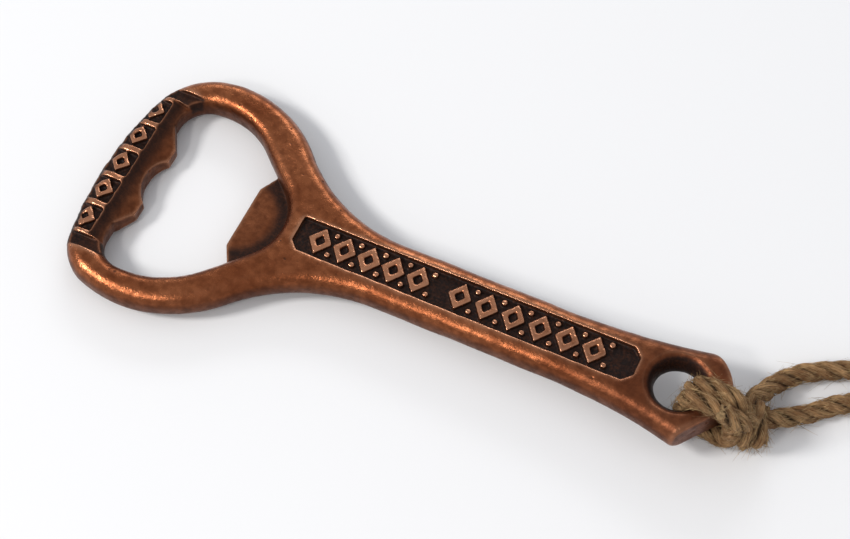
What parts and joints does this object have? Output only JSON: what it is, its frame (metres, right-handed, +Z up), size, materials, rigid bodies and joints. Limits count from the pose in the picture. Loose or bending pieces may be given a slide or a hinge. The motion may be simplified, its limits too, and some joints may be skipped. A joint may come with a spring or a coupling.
{
  "type": "bottle opener",
  "caption": "Cast copper-coloured bottle opener with a round toothed head, a tapering handle with a raised ornament, and a loop of jute twine tied through the hanging hole.",
  "frame": {"origin": "on the surface it lies on, under the middle of the casting", "axes": "+X along the handle from the toothed head to the hanging hole, +Z up out of the ornamented face"},
  "size_m": [0.1739, 0.0649, 0.0128],
  "materials": {
    "copper": "antiqued copper, worn bright on the ridges and dark in the recesses",
    "jute": "coarse three-ply jute twine"
  },
  "bodies": {
    "opener": {"opener_casting": "copper"},
    "twine": {"twine_turns": "jute", "twine_knot": "jute", "twine_loop": "jute"}
  },
  "joints": [
    {"name": "twine_swing", "type": "hinge", "parent": "opener", "child": "twine", "pos_m": [0.04749, -0.0001, 0.00624], "axis": [0, 0, 1], "range_deg": [-45, 45]}
  ]
}
